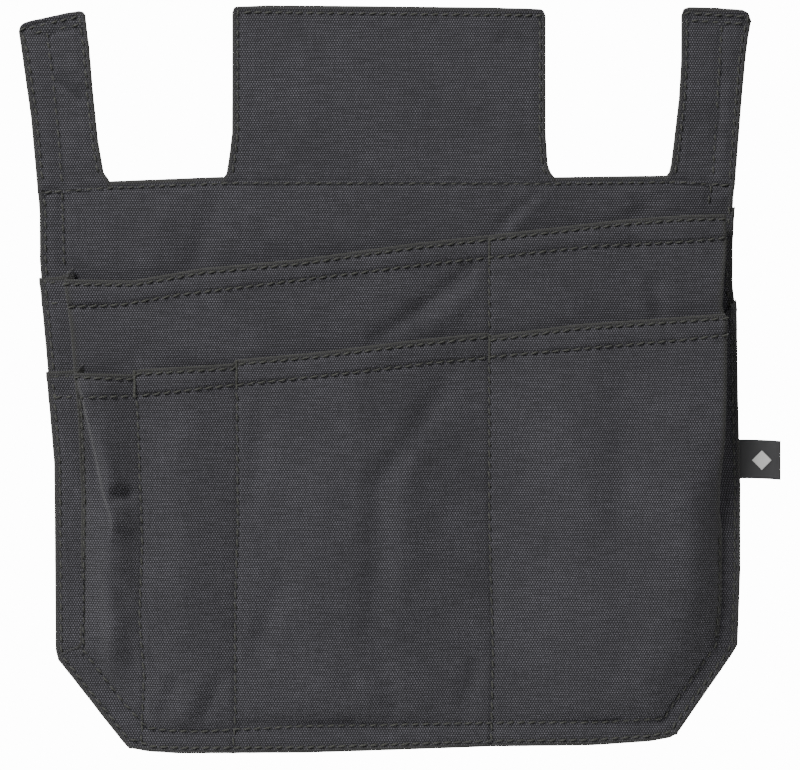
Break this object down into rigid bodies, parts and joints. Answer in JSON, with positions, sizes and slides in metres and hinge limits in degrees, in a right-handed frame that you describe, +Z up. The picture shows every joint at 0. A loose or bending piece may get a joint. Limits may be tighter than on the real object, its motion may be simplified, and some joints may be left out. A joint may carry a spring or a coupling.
{
  "type": "belt tool pouch",
  "caption": "Cloth tool pouch that hangs on a belt, with fold-back flaps and stacked open pockets with slanted tops.",
  "frame": {"origin": "middle of the fold line where the centre flap leaves the back panel, halfway between the panel's two cloths", "axes": "+X to the right seen from the front, along the belt; the pockets face -Y and the wearer is at +Y; +Z up"},
  "size_m": [0.2852, 0.0194, 0.2803],
  "materials": {
    "canvas": "plain weave, matt, charcoal",
    "thread": "twisted polyester thread",
    "hook_tape": "hook tape, black",
    "loop_tape": "brushed loop tape, black",
    "label_ribbon": "woven ribbon, satin",
    "label_thread": "woven white thread"
  },
  "bodies": {
    "bag": {"front_panel": "canvas", "rear_panel": "canvas", "rear_pocket_panel": "canvas", "rear_pocket_left_gusset": "canvas", "rear_pocket_right_gusset": "canvas", "front_pocket_panel": "canvas", "front_pocket_left_gusset": "canvas", "front_pocket_right_gusset": "canvas", "pocket_bartacks": "thread", "centre_loop_tape": "loop_tape", "left_loop_tape": "loop_tape", "right_loop_tape": "loop_tape"},
    "centre_flap": {"flap_front": "canvas", "flap_lining": "canvas", "flap_hook_tape": "hook_tape"},
    "left_tab": {"left_tab_front": "canvas", "left_tab_lining": "canvas", "left_hook_tape": "hook_tape"},
    "right_tab": {"right_tab_front": "canvas", "right_tab_lining": "canvas", "right_hook_tape": "hook_tape"},
    "side_label": {"label_ribbon": "label_ribbon", "label_diamond": "label_thread"}
  },
  "joints": [
    {"name": "centre_flap_fold", "type": "hinge", "parent": "bag", "child": "centre_flap", "pos_m": [0, 0.00215, 0.0024], "axis": [-1, 0, 0], "range_deg": [0, 178], "stiffness_Nm_per_rad": 0.01},
    {"name": "left_tab_fold", "type": "hinge", "parent": "bag", "child": "left_tab", "pos_m": [-0.12285, 0.00215, 0.00119], "axis": [-0.9947, 0, -0.1028], "range_deg": [0, 178], "stiffness_Nm_per_rad": 0.003},
    {"name": "right_tab_fold", "type": "hinge", "parent": "bag", "child": "right_tab", "pos_m": [0.11409, 0.00215, 0.00149], "axis": [-0.9969, 0, 0.0785], "range_deg": [0, 178], "stiffness_Nm_per_rad": 0.003},
    {"name": "side_label_flip", "type": "hinge", "parent": "bag", "child": "side_label", "pos_m": [0.1292, 0, -0.1028], "axis": [0, 0, 1], "range_deg": [-55, 55], "stiffness_Nm_per_rad": 0.0001}
  ]
}
